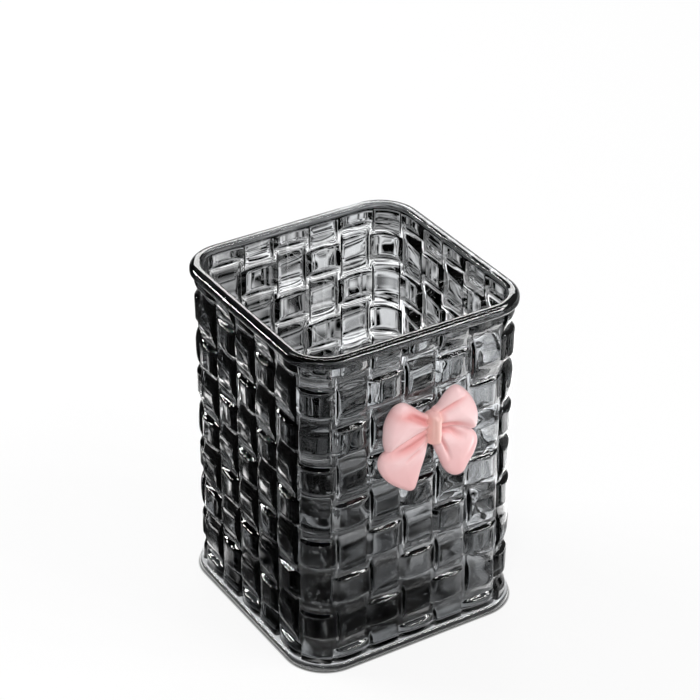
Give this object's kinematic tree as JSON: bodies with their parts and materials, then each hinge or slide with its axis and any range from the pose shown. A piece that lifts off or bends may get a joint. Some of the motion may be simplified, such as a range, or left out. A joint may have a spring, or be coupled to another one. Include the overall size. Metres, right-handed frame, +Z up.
{
  "type": "makeup brush holder",
  "caption": "Square cup for makeup brushes in smoky clear plastic, with a basketweave outside, a rounded rim, a standing foot and a pink resin bow on the front.",
  "frame": {"origin": "centre of the flat underside of the base plate, on the cup's axis", "axes": "+Z up through the mouth of the cup, -Y towards the side that carries the bow, +X to the right of somebody who faces the bow"},
  "size_m": [0.0714, 0.0759, 0.1],
  "materials": {
    "smoky_plastic": "clear smoky grey moulded plastic, polished",
    "bow_resin": "cast resin, soft satin",
    "clear_glue": "set clear glue"
  },
  "bodies": {
    "root": {"base_plate": "smoky_plastic", "rim_bead": "smoky_plastic", "front_wall": "smoky_plastic", "right_wall": "smoky_plastic", "rear_wall": "smoky_plastic", "left_wall": "smoky_plastic", "front_right_corner": "smoky_plastic", "rear_right_corner": "smoky_plastic", "rear_left_corner": "smoky_plastic", "front_left_corner": "smoky_plastic", "bow_knot": "bow_resin", "bow_left_loop": "bow_resin", "bow_right_loop": "bow_resin", "bow_left_tail": "bow_resin", "bow_right_tail": "bow_resin", "glue_pad": "clear_glue"}
  },
  "joints": []
}
